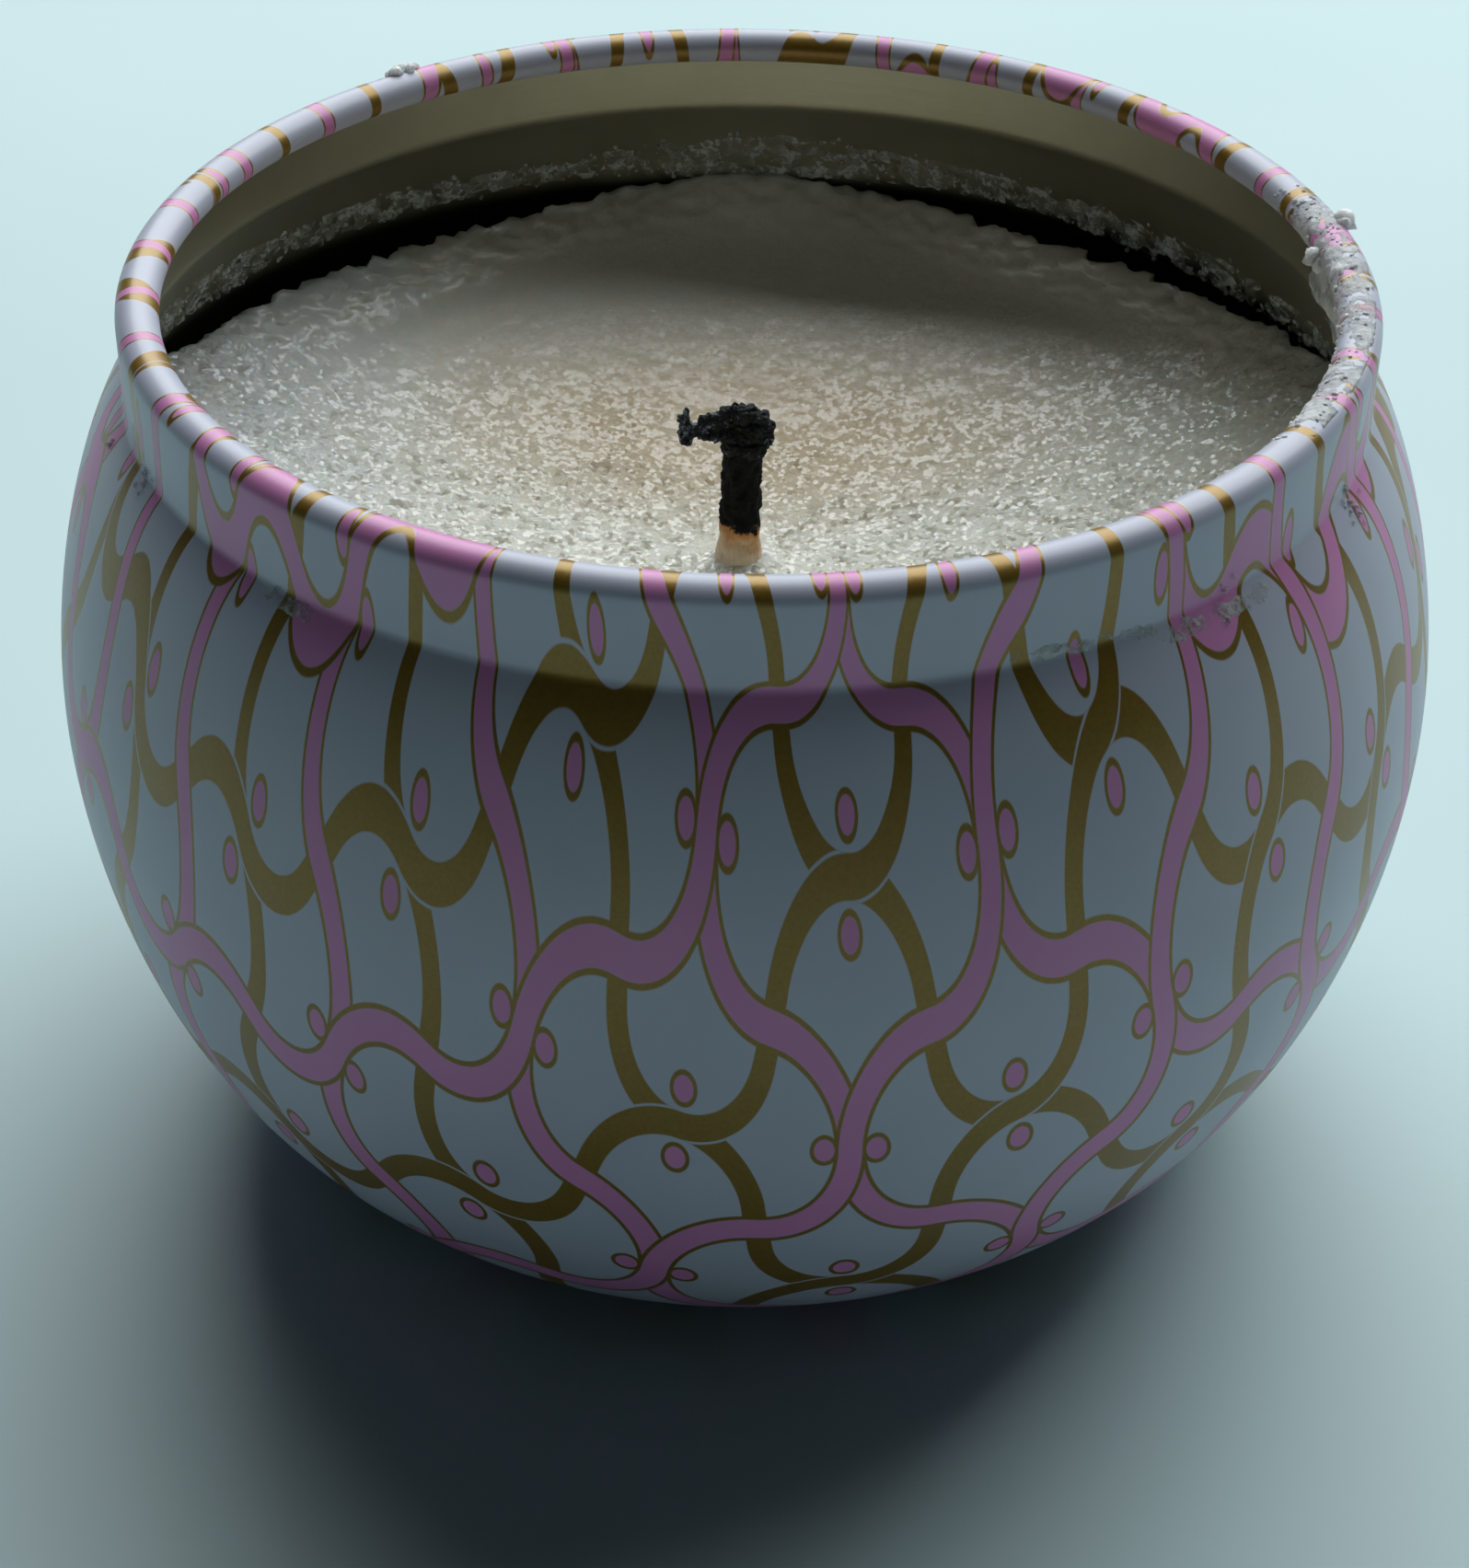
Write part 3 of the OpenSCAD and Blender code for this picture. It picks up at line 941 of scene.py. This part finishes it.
smears = deposit(outer_down, -71, -39, 0.35, smear_depth)
left_smear = deposit(outer_down, -136, -125, 0.35, smear_depth)
joined = bpy.data.meshes.new("joined")
left_smear.to_mesh(joined)
smears.from_mesh(joined)
left_smear.free()
bpy.data.meshes.remove(joined)
for azimuth, z, spread, count in CREASE_HEAPS:
    for _ in range(count):
        turn, up = azimuth + chance.gauss(0, spread) * 1.7, z + chance.gauss(0, spread) * 0.9
        near = min(outer_down, key=lambda p: abs(p.y - up))
        crumb(smears, on_wall(turn, near.x + 0.05, up), chance.triangular(0.08, 0.30, 0.13), 1)
finished("crease_smears", smears, [smear], "frosted_wax", "crease_wax")

# %% [markdown]
# ## The wick and its carbon
#
# The wick is a cotton braid. It stands in the wax on a pale, wax-soaked foot, turns tan where the
# heat scorched it, and is black char above. A braid could be modelled strand by strand, but it is
# as thin as a match and crusted over, so a spun rod with crossing ridges is enough. Above it sits
# a brittle growth of carbon with an arm bent to one side: balls melted together by a voxel
# remesh and then roughened, which gives the clinker look that smooth shapes never have.

# %% Wick
CHAR_Z, ROD_STEPS, BRAID_TURNS, BRAID_RISE = 35.7, 60, 2, 1.9
rows = [wick_low.z + 0.35 + 2.9 * i for i in range(10)] + [31.2 + 0.13 * i for i in range(76)]
rod_side = [(wick_r - 0.1, z) for z in rows]
rod, _ = line_shape([Vector(p) for p in [(0, rows[0])] + rod_side + [(0, rows[-1] + 0.1)]])
spun(rod, ROD_STEPS)
closed(rod)
for vert in rod.verts:
    x, y, z = vert.co
    turn, r = atan2(y, x), hypot(x, y)
    if r > 0.1:
        strands = [sin(BRAID_TURNS * turn + way * BRAID_RISE * z) for way in (1, -1)]
        ridges = max(abs(strands[0]), abs(strands[1]))
        burnt = smooth(CHAR_Z - 0.4, CHAR_Z + 0.5, z)
        crust_on = noise.noise(Vector((x * 2.2, y * 2.2, z * 1.6))) * 0.20
        crust_on += noise.noise(vert.co * 5.5) * 0.11
        r += (ridges - 0.8) * 0.16 * (1 - 0.5 * burnt) + crust_on * burnt - 0.06 * burnt
        r += 0.22 * (1 - smooth(33.0, 34.8, z)) * smooth(30, 32, z)
        r += 0.30 * smooth(39.6, 41.0, z) * max(cos(turn), 0)
    axis = wick_x + (-0.12 + 0.03 * (z - 33.5)) * smooth(31, 33, z)
    vert.co.x, vert.co.y = axis + cos(turn) * r, sin(turn) * r
cotton = Finish("charred_cotton", Specular_IOR_Level=0.25)
at = cotton.place()
cx, _, cz = cotton.axes(at)
wisps, strands = cotton.noise(0.8, at, 4, 0.6), cotton.noise(0.16, cotton.place((1, 1, 0.25)), 3)
lift = cz - (CHAR_Z - 0.2 + (wisps - 0.5) * 2.6 - (cx - wick_x) * 0.25)
charred = lift.ramp(-0.12, 0.18)
scorched = lift.ramp(-2.0, 0.1)
cream_foot = cotton.mix(strands, srgb(226, 200, 168), srgb(244, 226, 200))
tan = cotton.mix(strands, srgb(176, 112, 52), srgb(214, 156, 92))
unburnt = cotton.mix(scorched, cream_foot, tan)
char = cotton.mix(wisps.ramp(0.66, 0.8), srgb(3, 3, 3), srgb(22, 23, 26))
cotton.set(
    Base_Color=cotton.mix(charred, unburnt, char),
    Roughness=0.62 + charred * 0.22,
    Normal=cotton.bump(strands * 0.6 + cotton.noise(0.25, at, 3) * 0.6, 0.12),
)
finished("braided_wick", rod, [cotton], "wick_cotton", "wick")

# %% Carbon head
# Balls that melt together: x, y, z, radius
BALLS = [
    (-3.32, 0.0, 40.95, 0.42), (-3.36, 0.05, 41.55, 0.40), (-3.45, 0.0, 42.1, 0.27),
    (-3.42, 0.0, 42.45, 0.16), (-2.75, 0.0, 41.45, 0.40), (-2.30, 0.1, 41.75, 0.48),
    (-2.28, -0.1, 41.25, 0.42), (-1.80, 0.0, 41.95, 0.55), (-1.72, 0.0, 41.25, 0.55),
    (-1.32, 0.0, 42.2, 0.42), (-0.90, 0.0, 41.2, 0.72), (-0.30, 0.1, 41.0, 1.05),
    (0.25, 0.0, 41.2, 0.95), (-0.82, 0.2, 42.45, 0.38), (-0.30, 0.0, 42.3, 0.58),
    (0.25, 0.1, 42.2, 0.58), (0.72, 0.0, 42.2, 0.48), (1.12, 0.0, 41.7, 0.40),
    (1.05, -0.15, 41.15, 0.42), (0.65, 0.0, 40.9, 0.60), (-0.05, -0.3, 40.5, 0.85),
    (-0.60, -0.2, 40.5, 0.80),
]
VOXEL, SCALES = 0.055, 90
head = bmesh.new()
for *centre, radius in BALLS:
    made = bmesh.ops.create_icosphere(head, subdivisions=3, radius=radius)["verts"]
    bmesh.ops.translate(head, verts=made, vec=centre)
for _ in range(SCALES):
    *centre, radius = chance.choice(BALLS)
    way = Vector([chance.gauss(0, 1) for _ in range(3)]).normalized()
    made = bmesh.ops.create_icosphere(head, subdivisions=1, radius=chance.uniform(0.09, 0.17))["verts"]
    bmesh.ops.translate(head, verts=made, vec=Vector(centre) + way * radius * 1.02)
melted = bpy.data.meshes.new("melted")
head.to_mesh(melted)
head.free()
clinker = bpy.data.objects.new("clinker", melted)
bpy.context.scene.collection.objects.link(clinker)
remesh = clinker.modifiers.new("melt", "REMESH")
remesh.mode, remesh.voxel_size = "VOXEL", VOXEL
head = bmesh.new()
head.from_object(clinker, bpy.context.evaluated_depsgraph_get())
bpy.data.objects.remove(clinker)
bmesh.ops.smooth_vert(
    head, verts=head.verts, factor=0.4, use_axis_x=True, use_axis_y=True, use_axis_z=True
)
head.normal_update()
moves = [v.normal * layered(v.co, (0.16, 2.0), (0.13, 4.6), (0.05, 10)) for v in head.verts]
for vert, move in zip(head.verts, moves):
    vert.co += move
carbon = Finish("carbon_crust", Specular_IOR_Level=0.45)
at = carbon.place()
kx, _, _ = carbon.axes(at)
ash = (carbon.noise(0.32, at, 4, 0.7) + abs(kx + 0.3) * 0.030).ramp(0.60, 0.70)
carbon.set(
    Base_Color=carbon.mix(ash, srgb(9, 10, 12), srgb(112, 126, 142)),
    Roughness=0.80 - ash * 0.35,
    Normal=carbon.bump(carbon.noise(0.12, at, 3, 0.6), 0.08),
)
finished("carbon_crust", head, [carbon], "carbon", "carbon_head")

# %% [markdown]
# ## Inside the wax
#
# The wick's foot is crimped in a stamped sustainer, stuck to the base with a sticker. The wax hides
# both, and their CAD shapes are right, so those stay and only get their finishes: bright stamped
# tinplate with drawing marks round its collar, and a papery foam.

# %% Sustainer and sticker
stamped = Finish("stamped_tinplate", Metallic=1.0)
marks = stamped.noise(0.5, stamped.place((1, 1, 6)), 4, 0.6)
stamped.set(
    Base_Color=stamped.mix(marks, srgb(176, 178, 180), srgb(206, 207, 208)),
    Roughness=0.24 + marks * 0.2,
    Normal=stamped.bump(marks, 0.02),
)
papery = Finish("foam_sticker")
pores = papery.noise(0.3, papery.place(), 4, 0.7)
papery.set(
    Base_Color=papery.mix(pores, srgb(222, 220, 210), srgb(244, 243, 236)),
    Roughness=0.8 + pores * 0.1,
    Normal=papery.bump(pores, 0.05),
)
for node, finish in (("wick_sustainer", stamped), ("wick_sticker", papery)):
    for material_slot in frame["nodes"][node].material_slots:
        material_slot.material = finish.material
print("sustainer and sticker keep their CAD shapes")
